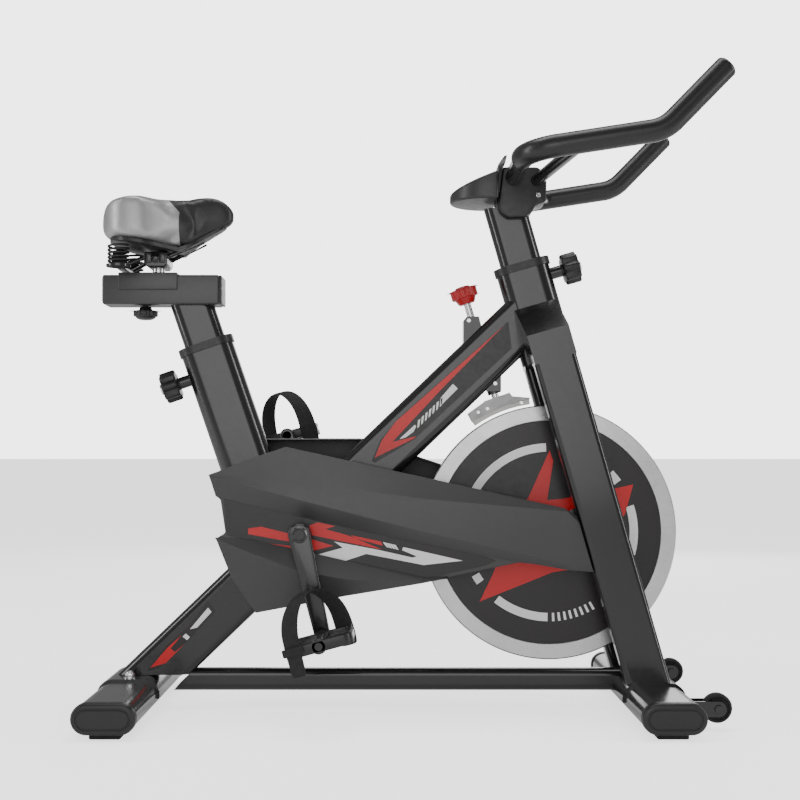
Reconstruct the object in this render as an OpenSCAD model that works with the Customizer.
// Indoor spin bike. +X is the way the rider faces, +Y the rider's left, +Z up, floor at z = 0.
// Millimetres. The drive side, with the belt and the ribbed cover, is the rider's right (-Y).

/* [Base] */
// Overall length of both floor bars, end cap to end cap
floor_bar_length = 500; // [460:10:520]
// Front-to-back width of a floor bar
floor_bar_w = 95; // [88:1:98]
// Height of a floor bar
floor_bar_h = 45; // [42:1:46]
// Fore-and-aft position of the rear floor bar
rear_bar_x = -447; // [-460:1:-440]
// Fore-and-aft position of the front floor bar
front_bar_x = 405; // [400:1:410]

/* [Frame tubes] */
// Depth of the diagonal main beam, seen from the side
beam_w = 84; // [80:1:86]
// Thickness of the main beam across the bike
beam_d = 46; // [42:1:48]
// Depth of the seat tube and head tube
tube_w = 90; // [88:1:92]
// Thickness of the seat tube and head tube
tube_d = 50; // [48:1:50]
// Depth of a sliding post
post_w = 70; // [66:1:72]
// Thickness of a sliding post
post_d = 35; // [32:1:36]
// Wall of every steel tube
wall = 2; // [1.5:0.1:2.5]
// Gap between a sliding post or carriage and its guide
slide_gap = 0.3; // [0.3:0.05:0.5]
// Backward lean of the seat tube
seat_lean = 18.9; // [18.5:0.1:19.5]
// Backward lean of the head tube and fork
head_lean = 16; // [15.8:0.1:16.2]

/* [Drive] */
// Flywheel radius
wheel_r = 212.7; // [208:0.1:214]
// Width of the flywheel rim
rim_w = 22; // [18:1:24]
// Crank length, spindle to pedal axle
crank_len = 165; // [160:1:172]
// Cranks' angle from straight down, drive side towards the front
crank_angle = 13; // [5:1:20]
// Pitch radius of the driving pulley
big_pulley_r = 100; // [96:1:100]
// Pitch radius of the pulley on the flywheel hub
small_pulley_r = 35; // [33:1:35]

/* [Controls] */
// Outside diameter of the handlebar tube
bar_dia = 28; // [25:0.5:30]
// Outside diameter of the foam grips
grip_dia = 35; // [33:0.5:37]
// Distance from the centre line to the side bars
bar_half = 224; // [215:1:226]
// Radius of the lobed clamp knobs
knob_r = 26; // [24:1:27]

/* [Seat] */
// Saddle width at its widest
saddle_w = 196; // [180:2:210]

/* [Hidden] */
$fn = 64;
fit = 0.05;

// Key points in the plane of symmetry, [x, z]
bottom_bracket_p = [-164, 299];
axle_p = [246.5, 296.4];
floor_bar_z = 33;
seat_foot = [-222, 299];
head_foot = [front_bar_x, floor_bar_z];
beam_slope = 43.8;
beam_back = 415;
beam_ahead = 535;
seat_tube_top = 333;
seat_post_low = 148;
rail_bottom = 676;
head_tube_low = 575;
head_tube_top = 742.8;
bar_post_low = 597;
clamp_bottom = 838;
crown_top = 668;
sleeve_len = 55;
leg_w = 70;
leg_d = 35;
leg_in = 55;
bottom_rail_z = 50;
shell_r = 30;
spindle_r = 10;
pulley_y = -38;
pulley_w = 16;
rim_t = 26;
web_t = 3;
hub_r = 24;
crank_y = 111;
crank_t = 14;
pedal_y = 179;
pedal_len = 98;
axle_r = 6;
pin_r = 4;
seat_pin_t = 281.8;
bar_pin_t = 712.5;
brake_top = [120, 647];
brake_lean = -163;
rod_r = 6;
sleeve_r = 11;
pad_r = wheel_r + 12;
bar_p = [185, 885];
bar_rise = 8.7;
bar_turn = 36.9;
carriage_x = [-470, -372];
knob_x = -430;
stem_x = -408;
rail_x = [-497, -299];
rail_h = 49;
rail_w = 56;
console_x = [81, 158];
wheel_x = 487;
wheel_z = 34.5;
wheel_y = 165;
floor_wheel_r = 23;

// Cover outline corners, [x, z]
cover_outline = [[-313, 393], [-277, 408], [-188, 439], [262, 340], [281, 328], [309, 237],
  [190, 245], [29, 218], [-92, 198], [-236, 171], [-275, 227], [-302, 292], [-286, 300], [-294, 354],
  [-301, 359]];
upper_wing = [[-313, 393], [-188, 439], [262, 340], [281, 328], [309, 237], [153, 256.5], [-3, 290],
  [-100, 311], [-301, 359]];
lower_wing = [[-302, 292], [-247, 289.5], [-91, 255], [34, 227], [76, 228], [29, 218], [-92, 198],
  [-236, 171], [-275, 227]];
cover_left_outline = [[-300, 390], [-237, 454], [-64, 454], [262, 345], [281, 328], [309, 237],
  [190, 250], [-92, 198], [-236, 171], [-285, 240]];

// ---------- helpers ----------
// Turns local +Z to lean back by an angle in the side plane, from a point [x, z]
module lean_at(p, lean) translate([p[0], 0, p[1]]) rotate([0, -lean, 0]) children();

// Side-view outline pushed out across the bike between two y values
module across(y0, y1) translate([0, y1, 0]) rotate([90, 0, 0]) linear_extrude(y1 - y0) children();

// Round bar across the bike
module axle(p, r, y0, y1) translate([p[0], y0, p[1]]) rotate([-90, 0, 0]) cylinder(h = y1 - y0, r = r);

// Both sides of the bike
module both() {
  children();
  mirror([0, 1, 0]) children();
}

// Flat oval with half-round ends, w long and d thick
module flat_oval(w, d) {
  square([w - d, d], center = true);
  for (s = [-1, 1]) translate([s * (w - d) / 2, 0]) circle(d = d);
}

module round_rect(w, d, r) {
  square([w - 2 * r, d], center = true);
  square([w, d - 2 * r], center = true);
  for (sx = [-1, 1], sy = [-1, 1]) translate([sx * (w / 2 - r), sy * (d / 2 - r)]) circle(r = r);
}

module oval_bar(w, d, z0, z1) translate([0, 0, z0]) linear_extrude(z1 - z0) flat_oval(w, d);

module oval_tube(w, d, t, z0, z1) difference() {
  oval_bar(w, d, z0, z1);
  oval_bar(w - 2 * t, d - 2 * t, z0 - 1, z1 + 1);
}

// Straight round rod between two points
module rod(a, b, r) {
  v = b - a;
  translate(a) rotate([0, acos(v[2] / norm(v)), atan2(v[1], v[0])]) cylinder(h = norm(v), r = r);
}

// Lobed knob along +Z
module lobed_knob(r, h, lobes, bore) difference() {
  linear_extrude(h) {
    circle(r = r * 0.82);
    for (i = [0 : lobes - 1]) rotate(i * 360 / lobes) translate([r * 0.76, 0]) circle(r = r * 0.24, $fn = 24);
  }
  translate([0, 0, -1]) cylinder(h = h + 2, r = bore);
}

// Block between two radii and two angles about the flywheel axle, angle from +X towards +Z
module rim_block(r0, r1, a0, a1, w) translate([axle_p[0], 0, axle_p[1]]) rotate([90, 0, 0])
  rotate([0, 0, a0]) rotate_extrude(angle = a1 - a0, $fn = 180) translate([r0, -w / 2]) square([r1 - r0, w]);

module hex_nut(r, h) cylinder(h = h, r = r, $fn = 6);

// ---------- outer envelopes that neighbouring tubes are cut to ----------
module floor_bar_env(x, grow = 0) translate([x, 0, floor_bar_z]) rotate([90, 0, 0])
  linear_extrude(floor_bar_length + 10, center = true)
    flat_oval(floor_bar_w + 2 * grow, floor_bar_h + 2 * grow);

module cradle_env() for (x = [rear_bar_x, front_bar_x]) floor_bar_env(x, cradle_t);
cradle_t = 4;
cradle_half = [62, 96];

module beam_env() lean_at(bottom_bracket_p, beam_slope - 90) translate([0, 0, -beam_back])
  linear_extrude(beam_back + beam_ahead) round_rect(beam_w, beam_d, 14);

module head_env() lean_at(head_foot, head_lean) oval_bar(tube_w, tube_d, head_tube_low, head_tube_top);

module crown_env() lean_at(head_foot, head_lean) rotate([90, 0, 90]) linear_extrude(leg_w, center = true)
  polygon([[-29, crown_top], [29, crown_top], [leg_in + leg_d, 618], [leg_in + leg_d, 570], [leg_in, 570],
    [40, 588], [-40, 588], [-leg_in, 570], [-leg_in - leg_d, 570], [-leg_in - leg_d, 618]]);

module sleeve_env() lean_at(brake_top, brake_lean) translate([0, 0, -8]) cylinder(h = 132, r = sleeve_r);

// ---------- base ----------
module floor_bar(x) translate([x, 0, floor_bar_z]) rotate([90, 0, 0])
  linear_extrude(floor_bar_length - 30, center = true) difference() {
    flat_oval(floor_bar_w, floor_bar_h);
    flat_oval(floor_bar_w - 2 * wall, floor_bar_h - 2 * wall);
  }
module rear_floor_bar() color([0.08, 0.08, 0.09]) floor_bar(rear_bar_x);
module front_floor_bar() color([0.08, 0.08, 0.09]) floor_bar(front_bar_x);

module floor_bar_caps() color([0.05, 0.05, 0.05]) both() for (x = [rear_bar_x, front_bar_x])
  translate([x, -floor_bar_length / 2 + 15, floor_bar_z]) rotate([90, 0, 0]) {
    linear_extrude(12) flat_oval(floor_bar_w + 3, floor_bar_h + 3);
    translate([0, 0, 12]) linear_extrude(3) flat_oval(floor_bar_w - 3, floor_bar_h - 3);
  }

module foot_pads() color([0.03, 0.03, 0.03]) both() for (x = [rear_bar_x, front_bar_x])
  translate([x - 24, -234, 0]) cube([48, 30, floor_bar_z - floor_bar_h / 2]);

module cradle(x, half) difference() {
  translate([x, 0, floor_bar_z]) rotate([90, 0, 0]) linear_extrude(2 * half, center = true) difference() {
    flat_oval(floor_bar_w + 2 * cradle_t, floor_bar_h + 2 * cradle_t);
    flat_oval(floor_bar_w, floor_bar_h);
  }
  translate([x - 80, -150, -10]) cube([160, 300, floor_bar_z + 5]);
}
module floor_bar_cradles() color([0.1, 0.1, 0.1]) {
  cradle(rear_bar_x, cradle_half[0]);
  cradle(front_bar_x, cradle_half[1]);
}

module floor_bar_bolts() color([0.75, 0.75, 0.77]) both() for (x = [rear_bar_x, front_bar_x])
  translate([x, x > 0 ? 32 : 46, floor_bar_z + floor_bar_h / 2 + cradle_t]) {
    cylinder(h = 2, r = 10);
    translate([0, 0, 2]) hex_nut(8, 7);
    translate([0, 0, 9]) cylinder(h = 4, r = 5);
  }

// ---------- frame ----------
module main_beam() color([0.07, 0.07, 0.08]) difference() {
  lean_at(bottom_bracket_p, beam_slope - 90) translate([0, 0, -beam_back])
    linear_extrude(beam_back + beam_ahead) difference() {
      round_rect(beam_w, beam_d, 14);
      round_rect(beam_w - 2 * wall, beam_d - 2 * wall, 12);
    }
  cradle_env();
  head_env();
  crown_env();
  sleeve_env();
  axle(bottom_bracket_p, shell_r, -40, 40);
  translate([-600, -60, -50]) cube([150 + 600 + rear_bar_x, 120, 110]);
}

module seat_tube() color([0.07, 0.07, 0.08]) difference() {
  lean_at(seat_foot, seat_lean) oval_tube(tube_w, tube_d, wall, -70, seat_tube_top - 13);
  beam_env();
  lean_at(bottom_bracket_p, beam_slope - 90) translate([14 - beam_w / 2, -50, -200]) cube([200, 100, 400]);
  lean_at(seat_foot, seat_lean) pin_hole(seat_pin_t, -1, pin_r + 3);
}

module tube_collars() color([0.04, 0.04, 0.04]) {
  lean_at(seat_foot, seat_lean) post_collar(seat_tube_top, seat_pin_t, -1);
  lean_at(head_foot, head_lean) post_collar(head_tube_top, bar_pin_t, 1);
}

// Plastic guide sleeve inside a tube, with the rim that shows on top of it
module post_collar(top, pin_t, side) difference() {
  union() {
    oval_bar(tube_w - 2 * wall, tube_d - 2 * wall, top - 13 - sleeve_len, top - 13);
    oval_bar(tube_w + 5, tube_d + 5, top - 13, top);
  }
  oval_bar(post_w + 2 * slide_gap, post_d + 2 * slide_gap, top - 20 - sleeve_len, top + 1);
  pin_hole(pin_t, side, pin_r + 3);
}

// Cut for a pull pin, out of the front (side = 1) or the back (side = -1) of a tube
module pin_hole(t, side, r) translate([0, 0, t]) rotate([0, side * 90, 0]) cylinder(h = 200, r = r);

module head_tube() color([0.07, 0.07, 0.08]) difference() {
  lean_at(head_foot, head_lean) oval_tube(tube_w, tube_d, wall, head_tube_low, head_tube_top - 13);
  lean_at(head_foot, head_lean) pin_hole(bar_pin_t, 1, pin_r + 3);
}

module fork_crown() color([0.07, 0.07, 0.08]) difference() {
  crown_env();
  head_env();
}

module fork_leg(side) difference() {
  lean_at(head_foot, head_lean) translate([0, side * (leg_in + leg_d / 2), 0]) linear_extrude(570)
    difference() {
      round_rect(leg_w, leg_d, 9);
      round_rect(leg_w - 2 * wall, leg_d - 2 * wall, 7);
    }
  cradle_env();
}
module fork_leg_right() color([0.09, 0.09, 0.1]) fork_leg(-1);
module fork_leg_left() color([0.09, 0.09, 0.1]) fork_leg(1);

module bottom_rail() color([0.07, 0.07, 0.08]) difference() {
  translate([rear_bar_x, 0, bottom_rail_z]) rotate([0, 90, 0]) linear_extrude(front_bar_x - rear_bar_x)
    difference() {
      round_rect(37, 30, 12);
      round_rect(37 - 2 * wall, 30 - 2 * wall, 10);
    }
  cradle_env();
  beam_env();
}

module bottom_bracket() color([0.3, 0.3, 0.32]) difference() {
  axle(bottom_bracket_p, shell_r, -27, 27);
  axle(bottom_bracket_p, spindle_r + fit, -30, 30);
}

module dropouts() color([0.07, 0.07, 0.08]) both() difference() {
  across(-leg_in, -leg_in + 6) {
    translate(axle_p) circle(r = 22);
    polygon([[axle_p[0] - 3, axle_p[1] + 21.8], [axle_p[0] - 3, axle_p[1] - 21.8], [278, 250], [352, 250],
      [330, 340], [285, 340]]);
  }
  axle(axle_p, axle_r, -70, 0);
  cradle_env();
}

module flywheel_axle() color([0.7, 0.7, 0.72]) {
  axle(axle_p, axle_r, -66, 66);
  both() difference() {
    translate([axle_p[0], -leg_in, axle_p[1]]) rotate([90, 0, 0]) hex_nut(11, 7);
    axle(axle_p, axle_r, -70, 0);
  }
}

// Welded barrel that guides a pull pin; w is measured from the post's axis
module pin_barrel(t, side) translate([0, 0, t]) rotate([0, side * 90, 0]) difference() {
  union() {
    translate([0, 0, tube_w / 2 - 4]) cylinder(h = 20, r = 10);
    translate([0, 0, post_w / 2 + 2]) cylinder(h = 6, r = pin_r + 3);
  }
  cylinder(h = 100, r = pin_r + fit);
}
module pin_barrels() color([0.1, 0.1, 0.1]) difference() {
  union() {
    lean_at(seat_foot, seat_lean) pin_barrel(seat_pin_t, -1);
    lean_at(head_foot, head_lean) pin_barrel(bar_pin_t, 1);
  }
  lean_at(seat_foot, seat_lean) barrel_seat(seat_pin_t, -1);
  lean_at(head_foot, head_lean) barrel_seat(bar_pin_t, 1);
}
// Keeps the wide part of a barrel outside its tube
module barrel_seat(t, side) difference() {
  oval_bar(tube_w, tube_d, t - 30, t + 30);
  pin_hole(t, side, pin_r + 3);
}

module brake_sleeve() color([0.1, 0.1, 0.1]) difference() {
  union() {
    sleeve_env();
    across(-15, 15) {
      polygon([[103, 611], [133, 641], [129, 657], [109, 657], [103, 650]]);
      polygon([[142, 536], [166, 558], [166, 532], [145, 532]]);
    }
  }
  difference() {
    beam_env();
    sleeve_env();
  }
  lean_at(brake_top, brake_lean) translate([0, 0, -40]) cylinder(h = 220, r = rod_r + fit);
}

// ---------- covers ----------
module shell(y_open, y_face, t) difference() {
  across(min(y_open, y_face), max(y_open, y_face)) children();
  translate([0, y_face > y_open ? -t : t, 0]) across(min(y_open, y_face), max(y_open, y_face))
    offset(delta = -t) children();
}

module cover_right() color([0.2, 0.2, 0.21]) difference() {
  union() {
    shell(-26, -80, 3) polygon(cover_outline);
    across(-98, -80) polygon(upper_wing);
    across(-98, -80) polygon(lower_wing);
  }
  across(-95, -79) offset(delta = -3) polygon(upper_wing);
  across(-95, -79) offset(delta = -3) polygon(lower_wing);
  axle(bottom_bracket_p, 20, -110, -60);
  translate([250, -leg_in - 9, 240]) cube([80, 16, 110]);
}

module cover_left() color([0.2, 0.2, 0.21]) difference() {
  shell(26, 76, 3) polygon(cover_left_outline);
  axle(bottom_bracket_p, 20, 20, 90);
  translate([250, leg_in - 9, 240]) cube([80, 18, 110]);
}

module cover_posts() color([0.1, 0.1, 0.1]) {
  for (p = [[-247, 219], [-73.8, 400]]) {
    axle(p, 5, -77, -beam_d / 2);
    axle(p, 5, beam_d / 2, 73);
  }
}

module drive_belt() color([0.03, 0.03, 0.03]) across(pulley_y - 6, pulley_y + 6) difference() {
  belt_loop(2.6);
  belt_loop(0.6);
}
// Outline of the belt loop, grown outwards from the two pitch circles
module belt_loop(grow) {
  rb = big_pulley_r + grow;
  rs = small_pulley_r + grow;
  span = axle_p - bottom_bracket_p;
  open_angle = acos((rb - rs) / norm(span));
  n = 30;
  around_big = [for (i = [0 : n]) open_angle + i * (360 - 2 * open_angle) / n];
  around_small = [for (i = [0 : n]) -open_angle + i * 2 * open_angle / n];
  translate(bottom_bracket_p) rotate(atan2(span[1], span[0])) polygon(concat(
    [for (a = around_big) rb * [cos(a), sin(a)]],
    [for (a = around_small) [norm(span), 0] + rs * [cos(a), sin(a)]]));
}

// ---------- floor wheels ----------
module wheel_brackets() color([0.1, 0.1, 0.1]) both() {
  difference() {
    for (s = [-1, 1]) across(-wheel_y + s * 13.5 - 1.5, -wheel_y + s * 13.5 + 1.5) {
      translate([wheel_x, wheel_z]) circle(r = 12);
      polygon([[front_bar_x + 20, wheel_z - 12], [wheel_x, wheel_z - 12], [wheel_x, wheel_z + 12],
        [front_bar_x + 20, wheel_z + 12]]);
    }
    floor_bar_env(front_bar_x);
    axle([wheel_x, wheel_z], 4, -wheel_y - 20, -wheel_y + 20);
  }
  axle([wheel_x, wheel_z], 4, -wheel_y - 15, -wheel_y + 15);
  for (s = [-1, 1]) translate([wheel_x, -wheel_y + s * 15, wheel_z]) rotate([-s * 90, 0, 0]) hex_nut(7, 4);
}

module floor_wheel(side) difference() {
  axle([wheel_x, wheel_z], floor_wheel_r, side * wheel_y - 9, side * wheel_y + 9);
  axle([wheel_x, wheel_z], 4 + fit, side * wheel_y - 20, side * wheel_y + 20);
  for (s = [-1, 1]) translate([wheel_x, side * wheel_y + s * 9, wheel_z]) rotate([90, 0, 0])
    rotate_extrude() translate([8, -3]) square([9, 6]);
}
module floor_wheel_right() color([0.05, 0.05, 0.05]) floor_wheel(-1);
module floor_wheel_left() color([0.05, 0.05, 0.05]) floor_wheel(1);

// ---------- seat ----------
module seat_post() color([0.07, 0.07, 0.08]) difference() {
  lean_at(seat_foot, seat_lean) oval_tube(post_w, post_d, wall, seat_post_low, 430);
  translate([-600, -100, rail_bottom]) cube([600, 200, 200]);
}

module seat_rail() color([0.16, 0.16, 0.17]) difference() {
  translate([rail_x[0], -rail_w / 2, rail_bottom]) cube([rail_x[1] - rail_x[0], rail_w, rail_h]);
  translate([rail_x[0] + 3, 2.5 - rail_w / 2, rail_bottom + 2.5])
    cube([rail_x[1] - rail_x[0] - 6, rail_w - 5, rail_h - 5]);
  translate([knob_x - 38, -6, rail_bottom - 10]) cube([80, 12, 100]);
}

module seat_carriage() color([0.1, 0.1, 0.11]) {
  top = rail_bottom + rail_h + slide_gap;
  inner = rail_w / 2 + slide_gap;
  difference() {
    translate([carriage_x[0], -inner - 3, top - 24]) cube([carriage_x[1] - carriage_x[0], 2 * inner + 6, 27]);
    translate([carriage_x[0] - 1, -inner, top - 30]) cube([carriage_x[1] - carriage_x[0] + 2, 2 * inner, 30]);
    translate([knob_x, 0, top - 1]) cylinder(h = 10, r = 4.5 + fit);
  }
}

module saddle_clamp() color([0.75, 0.75, 0.77]) {
  top = rail_bottom + rail_h + slide_gap + 3;
  translate([stem_x, 0, top]) cylinder(h = 33, r = 10);
  difference() {
    across(-30, 30) translate([stem_x, 753]) round_rect(39, 20, 6);
    translate([stem_x, 0, top]) cylinder(h = 40, r = 10);
    for (s = [-1, 1]) saddle_wire(s, 3.5);
  }
  for (s = [-1, 1]) translate([stem_x, s * 30, 753]) rotate([-s * 90, 0, 0]) hex_nut(7.5, 5);
}

// One saddle rail wire, from the spring bar through the clamp to the nose
module saddle_wire(s, r) {
  tail = [-462, s * 37, 738];
  clamp_back = [-428, s * 24, 754];
  clamp_front = [-388, s * 22, 756];
  rod(tail, clamp_back, r);
  rod(clamp_back, clamp_front, r);
  rod(clamp_front, [-330, s * 12, 782], r);
  for (p = [clamp_back, clamp_front]) translate(p) sphere(r = r + 0.4);
}
module saddle_rails() color([0.08, 0.08, 0.08]) difference() {
  union() {
    for (s = [-1, 1]) {
      saddle_wire(s, 3.5);
      translate([-463, s * 60, 733]) cylinder(h = 4, r = 20);
    }
    translate([-470, -60, 733]) cube([14, 120, 4]);
  }
  saddle_solid(0, 200);
}

// Coil spring, as a swept round wire
function ring_points(c, a, r) = [for (j = [0 : 5])
  [(c + r * cos(j * 60)) * cos(a), (c + r * cos(j * 60)) * sin(a), r * sin(j * 60)]];
module coil(c, r, h, turns) {
  steps = turns * 12;
  rings = [for (i = [0 : steps]) for (p = ring_points(c, i * 30, r)) p + [0, 0, r + (h - 2 * r) * i / steps]];
  sides = [for (i = [0 : steps - 1], j = [0 : 5])
    [(i + 1) * 6 + j, (i + 1) * 6 + (j + 1) % 6, i * 6 + (j + 1) % 6, i * 6 + j]];
  ends = [[for (j = [0 : 5]) j], [for (j = [5 : -1 : 0]) steps * 6 + j]];
  polyhedron(points = rings, faces = concat(sides, ends), convexity = 10);
}
module saddle_springs() color([0.05, 0.05, 0.05]) for (s = [-1, 1]) translate([-463, s * 60, 737])
  coil(15.5, 2.5, 34, 3);

// Plan half-width of the saddle at a distance u from its tail, as a fraction of its length
function saddle_half(u) = u < 0.3 ? saddle_w / 2 * sqrt(max(0, 1 - pow((0.3 - u) / 0.3, 2.6)))
  : 18 + (saddle_w / 2 - 18) * (1 + cos(180 * min(1, (u - 0.3) / 0.5))) / 2 - 6 * max(0, u - 0.8) / 0.2;
// Rounds off the last stretch of the nose
function nose_round(u) = u > 0.94 ? sqrt(max(0, 1 - pow((u - 0.94) / 0.06, 2))) : 1;
saddle_tail = -497;
saddle_len = 215;
module saddle_plan() {
  n = 28;
  us = [for (i = [0 : n]) (1 - cos(180 * i / n)) / 2];
  edge = [for (u = us) [saddle_tail + saddle_len * u, max(0.5, saddle_half(u) * nose_round(u))]];
  polygon(concat(edge, [for (i = [n - 1 : -1 : 1]) [edge[i][0], -edge[i][1]]]));
}
// Side profile of the saddle's underside, [x, z], tail to nose
saddle_under = [[-497, 778], [-446, 771.6], [-400, 765], [-366, 763], [-283, 806]];
saddle_over = [[-282, 834], [-293, 845], [-306, 854], [-323, 857], [-348, 850], [-371, 842], [-406, 840],
  [-438, 843], [-468, 840], [-484, 833], [-496, 817]];
module saddle_solid(z_low, z_high) intersection() {
  translate([0, 0, 700]) linear_extrude(200) saddle_plan();
  across(-120, 120) polygon(concat([for (p = saddle_under) p + [0, z_low]], z_high > 100 ? saddle_over
    : [for (i = [len(saddle_under) - 1 : -1 : 0]) saddle_under[i] + [0, z_high]]));
}
module saddle_base() color([0.06, 0.06, 0.06]) saddle_solid(0, 6);
module saddle_cushion() color([0.6, 0.6, 0.62]) saddle_solid(6, 200);

module carriage_knob() color([0.05, 0.05, 0.05]) translate([knob_x, 0, 652]) {
  lobed_knob(knob_r, 16, 7, 4.5);
  cylinder(h = rail_bottom + rail_h + slide_gap + 3 - 652, r = 4.5);
  difference() {
    translate([0, 0, 16]) cylinder(h = 7, r = 9);
    cylinder(h = 30, r = 4.5);
  }
}

// ---------- pull pins ----------
module pull_pin(t, side) translate([0, 0, t]) rotate([0, side * 90, 0]) {
  translate([0, 0, post_w / 2 + 0.4]) cylinder(h = 57, r = pin_r);
  translate([0, 0, post_w / 2 + 57.4]) cylinder(h = 3, r = 9);
}
module pull_knob(t, side) translate([0, 0, t]) rotate([0, side * 90, 0]) translate([0, 0, 64])
  lobed_knob(knob_r, 28, 6, pin_r + fit);
module seat_pin() color([0.7, 0.7, 0.7]) lean_at(seat_foot, seat_lean) pull_pin(seat_pin_t, -1);
module bar_pin() color([0.7, 0.7, 0.7]) lean_at(head_foot, head_lean) pull_pin(bar_pin_t, 1);
module seat_pin_knob() color([0.05, 0.05, 0.05]) lean_at(seat_foot, seat_lean) pull_knob(seat_pin_t, -1);
module bar_pin_knob() color([0.05, 0.05, 0.05]) lean_at(head_foot, head_lean) pull_knob(bar_pin_t, 1);

// ---------- handlebar ----------
module bar_post() color([0.07, 0.07, 0.08]) difference() {
  lean_at(head_foot, head_lean) oval_tube(post_w, post_d, wall, bar_post_low, 870);
  translate([100, -100, clamp_bottom]) cube([200, 200, 200]);
}

module bar_clamp() color([0.04, 0.04, 0.04]) difference() {
  across(-32, 32) {
    translate([159, clamp_bottom]) square([81, 65]);
    translate([188, clamp_bottom]) round_rect(58, 40, 19);
  }
  difference() {
    lean_at(head_foot, head_lean) oval_bar(post_w, post_d, bar_post_low, 870);
    translate([100, -100, clamp_bottom]) cube([200, 200, 200]);
  }
  across(-40, 40) polygon([[150, 830], [159, 830], [159, 856], [166.5, 903], [164, 910], [150, 910]]);
  translate([bar_p[0], 50, bar_p[1]]) rotate([90, 0, 0]) cylinder(h = 100, r = bar_dia / 2);
  for (s = [-1, 1]) rod(brace_a(s), brace_b(s), brace_r);
}
brace_r = 10;
function brace_a(s) = [222, s * 24, 880];
function brace_b(s) = [272, s * bar_half, 898];

// One side of the handlebar: half the cross bar, a bend, the side bar, a rising bend, the upright
bend_r = 50;
rise_r = 60;
side_end = 192;
upright_len = 110;
// Straights are a hair thinner than the bends and run a little way into them, so that the joints are clean
module bar_side(r, inner) translate([bar_p[0], 0, bar_p[1]]) rotate([0, -bar_rise, 0]) {
  translate([bend_r, bar_half - bend_r, 0]) rotate([0, 0, 90]) rotate_extrude(angle = 90)
    translate([bend_r, 0]) ring(r, inner);
  translate([bend_r - lap, bar_half, 0]) rotate([0, 90, 0]) straight(r, inner, side_end - bend_r + 2 * lap);
  translate([side_end, bar_half, rise_r]) rotate([90, 0, 0]) rotate([0, 0, -90])
    rotate_extrude(angle = bar_turn) translate([rise_r, 0]) ring(r, inner);
  at_riser() translate([0, 0, -lap]) straight(r, inner, upright_len + lap);
}
module at_riser() translate([side_end, bar_half, rise_r]) rotate([0, -bar_turn, 0]) translate([0, 0, -rise_r])
  rotate([0, 90, 0]) children();
module straight(r, inner, h) tube(r - seam, inner + seam, h);
seam = 0.12;
lap = 2;
module ring(r, inner) difference() {
  circle(r = r);
  circle(r = inner);
}
module tube(r, inner, h) linear_extrude(h) ring(r, inner);

module handlebar() color([0.08, 0.08, 0.08]) {
  both() bar_side(bar_dia / 2, bar_dia / 2 - wall);
  translate([bar_p[0], bend_r - bar_half - lap, bar_p[1]]) rotate([0, -bar_rise, 0]) rotate([-90, 0, 0])
    straight(bar_dia / 2, bar_dia / 2 - wall, 2 * (bar_half - bend_r + lap));
  difference() {
    for (s = [-1, 1]) rod(brace_a(s), brace_b(s), brace_r);
    both() side_bar_env();
    translate([bar_p[0], 50, bar_p[1]]) rotate([90, 0, 0]) cylinder(h = 100, r = bar_dia / 2);
  }
}
module side_bar_env() translate([bar_p[0], 0, bar_p[1]]) rotate([0, -bar_rise, 0])
  translate([bend_r, bar_half, 0]) rotate([0, 90, 0]) cylinder(h = side_end - bend_r, r = bar_dia / 2);

module grip() {
  difference() {
    bar_side(grip_dia / 2, bar_dia / 2);
    rod(brace_a(1), brace_b(1), brace_r);
  }
  translate([bar_p[0], 0, bar_p[1]]) rotate([0, -bar_rise, 0]) at_riser() translate([0, 0, upright_len]) {
    cylinder(h = 3, r = grip_dia / 2 - 1);
    translate([0, 0, 3]) cylinder(h = 2, r = grip_dia / 2 - 3);
  }
}
module grip_left() color([0.05, 0.05, 0.05]) grip();
module grip_right() color([0.05, 0.05, 0.05]) mirror([0, 1, 0]) grip();

module console() color([0.25, 0.25, 0.26]) difference() {
  intersection() {
    translate([0, 0, 800]) linear_extrude(200) {
      translate([141, 0]) circle(r = 60);
      translate([141, -60]) square([console_x[1] - 141, 120]);
    }
    across(-70, 70) polygon([[console_x[0] - 5, 852], [console_x[1], 852], [console_x[1], console_z[1]],
      [console_x[0], console_z[0]], [console_x[0] - 5, console_z[0] - 2]]);
    translate([60, -80, 800]) cube([console_x[1] - 60, 160, 200]);
  }
  console_face(118) translate([0, 0, -4]) cylinder(h = 10, r = 7 + fit);
}
// Stands children on the console's sloping top, at a distance along the bike
module console_face(x) translate([x, 0, console_z[0] + (x - console_x[0]) * tan(face_tilt)])
  rotate([0, -face_tilt, 0]) children();
console_z = [862.5, 893];
face_tilt = atan2(console_z[1] - console_z[0], console_x[1] - console_x[0]);

module phone_rest() color([0.05, 0.05, 0.05]) intersection() {
  across(-50, 50) polygon([[158.2, 856], [159, 905], [172, 928], [176, 928], [170, 907], [166.5, 903],
    [159, 856]]);
  translate([100, 0, 878]) rotate([0, 90, 0]) cylinder(h = 100, r = 50);
}

module console_button() color([0.6, 0.6, 0.6]) console_face(118) translate([0, 0, -2]) cylinder(h = 4, r = 7);

// ---------- brake ----------
module brake_rod() color([0.75, 0.75, 0.77]) difference() {
  lean_at(brake_top, brake_lean) translate([0, 0, -52]) cylinder(h = 190, r = rod_r);
  across(-20, 20) polygon(shoe_block);
}

module brake_knob() color([0.85, 0.02, 0.03]) lean_at(brake_top, brake_lean) {
  translate([0, 0, -60]) {
    lobed_knob(22.6, 26, 12, rod_r + fit);
  }
  translate([0, 0, -64]) cylinder(h = 4, r = 17);
}

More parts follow.
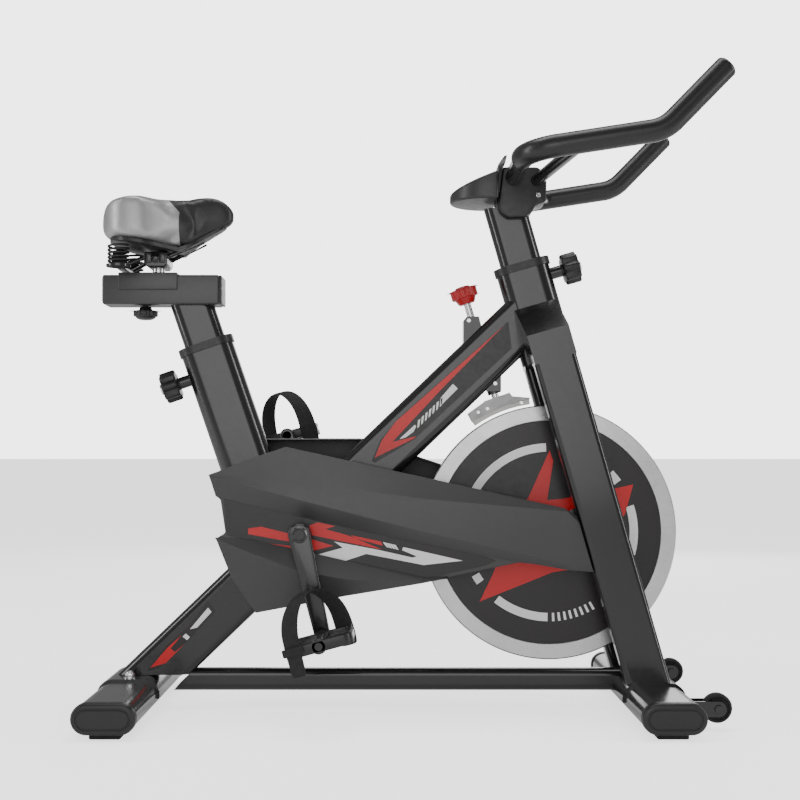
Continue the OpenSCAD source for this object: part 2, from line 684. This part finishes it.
// Side outlines of the shoe's block, its rear plate and its front tongue, [x, z]
shoe_block = [[139, 516], [180, 530], [189, 518], [189, 490], [125, 480]];
shoe_plate = [[111, 495], [136, 513], [150, 505], [150, 480], [119, 480]];
shoe_tongue = [[184, 524], [214, 521.5], [214, 505], [184, 505]];
module brake_shoe() color([0.15, 0.15, 0.15]) difference() {
  union() {
    across(-15, 15) polygon(shoe_block);
    across(-12, 12) polygon(shoe_plate);
    across(-13, 13) polygon(shoe_tongue);
  }
  axle(axle_p, pad_r, -40, 40, $fn = 180);
}
module brake_pad() color([0.25, 0.22, 0.2]) rim_block(wheel_r + 4, pad_r, 98.5, 124.5, 22);

// ---------- drive ----------
// Heavy rim on a thin web, with a flat face plate set into each side
module flywheel() color([0.75, 0.75, 0.77]) difference() {
  axle(axle_p, wheel_r, -rim_w / 2, rim_w / 2, $fn = 180);
  both() axle(axle_p, wheel_r - rim_t, -rim_w, -web_t / 2, $fn = 180);
  axle(axle_p, hub_r, -30, 30);
}

module flywheel_plates() color([0.12, 0.1, 0.1]) both() difference() {
  axle(axle_p, wheel_r - rim_t, -rim_w / 2 + 2, -rim_w / 2 + 4, $fn = 180);
  axle(axle_p, hub_r, -30, 0);
}

module flywheel_hub() color([0.2, 0.2, 0.2]) difference() {
  union() {
    axle(axle_p, hub_r, pulley_y - pulley_w / 2, 28);
    axle(axle_p, small_pulley_r, pulley_y - pulley_w / 2, pulley_y + pulley_w / 2);
  }
  axle(axle_p, axle_r + fit, -60, 60);
}

module drive_pulley() color([0.2, 0.2, 0.2]) difference() {
  axle(bottom_bracket_p, big_pulley_r, pulley_y - pulley_w / 2, pulley_y + pulley_w / 2);
  for (i = [0 : 5]) translate([bottom_bracket_p[0], 0, bottom_bracket_p[1]]) rotate([0, i * 60, 0])
    axle([62, 0], 22, -60, 0);
  axle(bottom_bracket_p, spindle_r, -60, 0);
}

module crank_arm(side) translate([bottom_bracket_p[0], side * crank_y, bottom_bracket_p[1]])
  rotate([0, side < 0 ? 180 - crank_angle : -crank_angle, 0]) {
    rotate([90, 0, 0]) linear_extrude(crank_t, center = true) {
      circle(r = 18);
      polygon([[-13, 0], [13, 0], [11, crank_len], [-11, crank_len]]);
      translate([0, crank_len]) circle(r = 12);
    }
    rotate([-side * 90, 0, 0]) translate([0, 0, crank_t / 2]) cylinder(h = 4, r = 12);
  }
module crankset() color([0.12, 0.12, 0.12]) {
  axle(bottom_bracket_p, spindle_r, -crank_y - 2, crank_y + 2);
  for (s = [-1, 1]) {
    crank_arm(s);
    axle(pedal_point(s), axle_r, s < 0 ? -pedal_y - 50 : crank_y, s < 0 ? -crank_y : pedal_y + 50);
  }
}
function pedal_point(s) = bottom_bracket_p + s * crank_len * [-sin(crank_angle), cos(crank_angle)];

// ---------- pedals ----------
pedal_tilt = 15;
module at_pedal(side) translate([pedal_point(side)[0], side * pedal_y, pedal_point(side)[1]])
  rotate([0, -pedal_tilt, 0]) children();

module pedal(side) at_pedal(side) difference() {
  union() {
    difference() {
      linear_extrude(17, center = true) round_rect(104, pedal_len, 14);
      for (sx = [-1, 1]) translate([sx * 30, 0, -20]) linear_extrude(40) round_rect(32, 74, 8);
    }
    for (sx = [-1, 1], y = [-18, 18]) translate([sx * 30 - 17, y - 3, -8.5]) cube([34, 6, 17]);
    rotate([90, 0, 0]) cylinder(h = pedal_len, r = 12, center = true);
  }
  rotate([90, 0, 0]) cylinder(h = pedal_len + 40, r = axle_r + fit, center = true);
}
module pedal_right() color([0.05, 0.05, 0.05]) pedal(-1);
module pedal_left() color([0.05, 0.05, 0.05]) pedal(1);

module toe_strap(side) at_pedal(side) {
  difference() {
    translate([0, 0, 8.5]) rotate([0, 0, side * 26]) rotate([90, 0, 90]) linear_extrude(28, center = true)
      difference() {
        union() {
          translate([0, 35]) circle(r = 46);
          translate([-46, 0]) square([92, 35]);
        }
        translate([0, 35]) circle(r = 43.5);
        translate([-43.5, -20]) square([87, 55]);
        translate([-60, -60]) square([120, 60]);
      }
    rotate([90, 0, 0]) cylinder(h = pedal_len, r = 12, center = true);
  }
  translate([-44, side > 0 ? pedal_len / 2 : -pedal_len / 2 - 2.5, -38]) cube([27, 2.5, 46]);
}
module toe_strap_right() color([0.04, 0.04, 0.04]) toe_strap(-1);
module toe_strap_left() color([0.04, 0.04, 0.04]) toe_strap(1);

rear_floor_bar();
front_floor_bar();
floor_bar_caps();
foot_pads();
floor_bar_cradles();
floor_bar_bolts();
main_beam();
seat_tube();
head_tube();
tube_collars();
fork_crown();
fork_leg_right();
fork_leg_left();
bottom_rail();
bottom_bracket();
dropouts();
flywheel_axle();
pin_barrels();
brake_sleeve();
cover_right();
cover_left();
cover_posts();
drive_belt();
wheel_brackets();
seat_post();
seat_rail();
seat_carriage();
saddle_clamp();
saddle_rails();
saddle_springs();
saddle_base();
saddle_cushion();
carriage_knob();
seat_pin();
seat_pin_knob();
bar_post();
bar_clamp();
handlebar();
grip_right();
grip_left();
console();
phone_rest();
console_button();
bar_pin();
bar_pin_knob();
brake_rod();
brake_shoe();
brake_pad();
brake_knob();
flywheel();
flywheel_plates();
flywheel_hub();
crankset();
drive_pulley();
pedal_right();
toe_strap_right();
pedal_left();
toe_strap_left();
floor_wheel_right();
floor_wheel_left();
